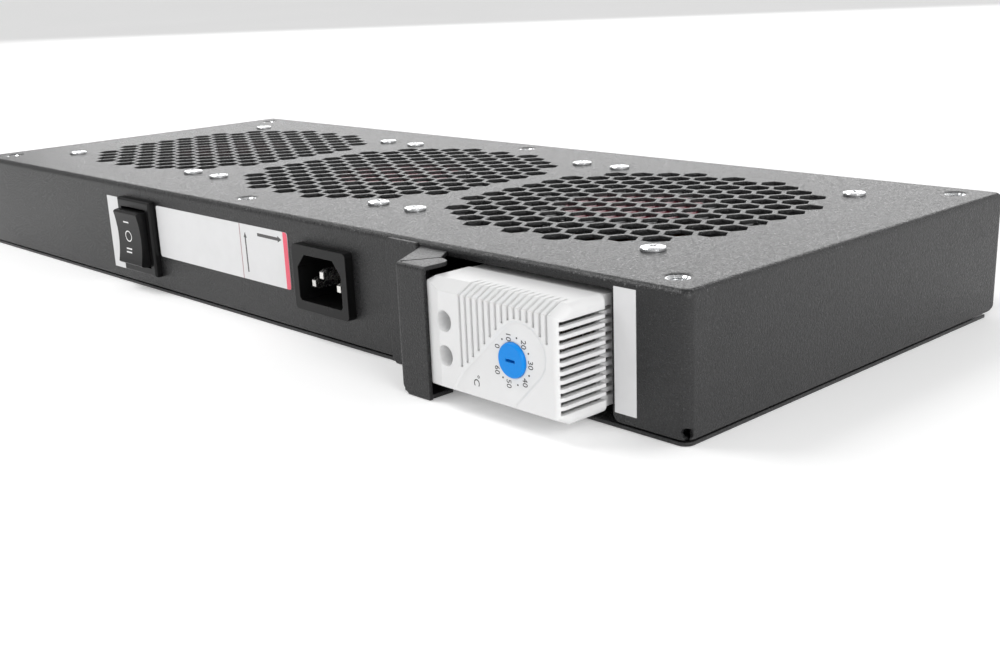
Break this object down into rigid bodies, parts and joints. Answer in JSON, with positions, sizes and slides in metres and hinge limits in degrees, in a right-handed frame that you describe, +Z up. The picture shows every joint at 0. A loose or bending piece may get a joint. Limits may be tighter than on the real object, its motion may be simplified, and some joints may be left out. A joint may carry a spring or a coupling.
{
  "type": "rack fan tray",
  "caption": "Flat one-unit rack fan tray with honeycomb grilles over axial fans, rocker switch, mains inlet and a dial thermostat beside a bent guard.",
  "frame": {"origin": "centre of the body's underside, on the flat bottom plate", "axes": "+X along the long side towards the thermostat, +Y away from the switch and inlet side, +Z up, out of the honeycomb grilles"},
  "size_m": [0.43, 0.1888, 0.0428],
  "materials": {
    "black_powder": "fine textured black powder coat",
    "zinc": "bright zinc plated steel",
    "steel_black": "blackened steel",
    "fan_cast": "cast aluminium, black paint",
    "fan_plastic": "moulded fan blades, satin",
    "disc_red": "dark red sticker, satin",
    "steel": "plain steel",
    "lamination": "stacked core sheets",
    "copper": "enamelled copper wire",
    "black_plastic": "moulded black plastic, fine texture",
    "label_white": "white film label, satin",
    "white_plastic": "moulded white plastic",
    "blue_plastic": "blue moulded plastic",
    "brass_plate": "nickelled brass",
    "wire_black": "black PVC wire",
    "wire_brown": "brown PVC wire",
    "wire_green": "green and yellow PVC wire",
    "block_grey": "moulded grey-white plastic"
  },
  "bodies": {
    "root": {"top_shell": "black_powder", "bottom_plate": "black_powder", "base_screws": "steel_black", "clinch_nuts": "zinc", "fan_screws": "zinc", "fan_nuts": "zinc", "thermostat_guard": "black_powder", "fan_frame_left": "fan_cast", "fan_stator_left": "lamination", "fan_windings_left": "copper", "fan_frame_middle": "fan_cast", "fan_stator_middle": "lamination", "fan_windings_middle": "copper", "fan_frame_right": "fan_cast", "fan_stator_right": "lamination", "fan_windings_right": "copper", "fan_bearings": "steel", "fan_discs": "disc_red", "switch_housing": "black_plastic", "switch_terminals": "brass_plate", "switch_contact_arms": "copper", "inlet_body": "black_plastic", "inlet_pins": "brass_plate", "rating_label": "label_white", "switch_label": "label_white", "serial_label": "label_white", "thermostat_cover": "white_plastic", "thermostat_base": "white_plastic", "thermostat_bushing": "white_plastic", "thermostat_bimetal": "brass_plate", "thermostat_contact": "copper", "thermostat_terminals": "brass_plate", "thermostat_screws": "zinc", "din_rail": "zinc", "rail_bracket": "black_powder", "rail_rivets": "steel", "terminal_block": "block_grey", "block_screws": "zinc", "earth_stud": "zinc", "earth_nut": "zinc", "feed_wires": "wire_brown", "thermostat_wires": "wire_black", "fan_leads": "wire_black", "earth_wire": "wire_green"},
    "impeller_left": {"fan_impeller_left": "fan_plastic", "fan_shaft_left": "steel", "fan_rotor_ring_left": "steel"},
    "impeller_middle": {"fan_impeller_middle": "fan_plastic", "fan_shaft_middle": "steel", "fan_rotor_ring_middle": "steel"},
    "impeller_right": {"fan_impeller_right": "fan_plastic", "fan_shaft_right": "steel", "fan_rotor_ring_right": "steel"},
    "rocker": {"switch_rocker": "black_plastic"},
    "knob": {"thermostat_knob": "blue_plastic", "thermostat_spindle": "brass_plate"}
  },
  "joints": [
    {"name": "fan_spin_left", "type": "hinge", "parent": "root", "child": "impeller_left", "pos_m": [-0.125, 0, 0.02], "axis": [0, 0, 1], "continuous": true},
    {"name": "fan_spin_middle", "type": "hinge", "parent": "root", "child": "impeller_middle", "pos_m": [0, 0, 0.02], "axis": [0, 0, 1], "continuous": true},
    {"name": "fan_spin_right", "type": "hinge", "parent": "root", "child": "impeller_right", "pos_m": [0.125, 0, 0.02], "axis": [0, 0, 1], "continuous": true},
    {"name": "rocker_tilt", "type": "hinge", "parent": "root", "child": "rocker", "pos_m": [-0.0629, -0.083, 0.0213], "axis": [1, 0, 0], "range_deg": [-9, 9]},
    {"name": "knob_turn", "type": "hinge", "parent": "root", "child": "knob", "pos_m": [0.1719, -0.1, 0.02], "axis": [0, 1, 0], "range_deg": [-152, 152]}
  ]
}
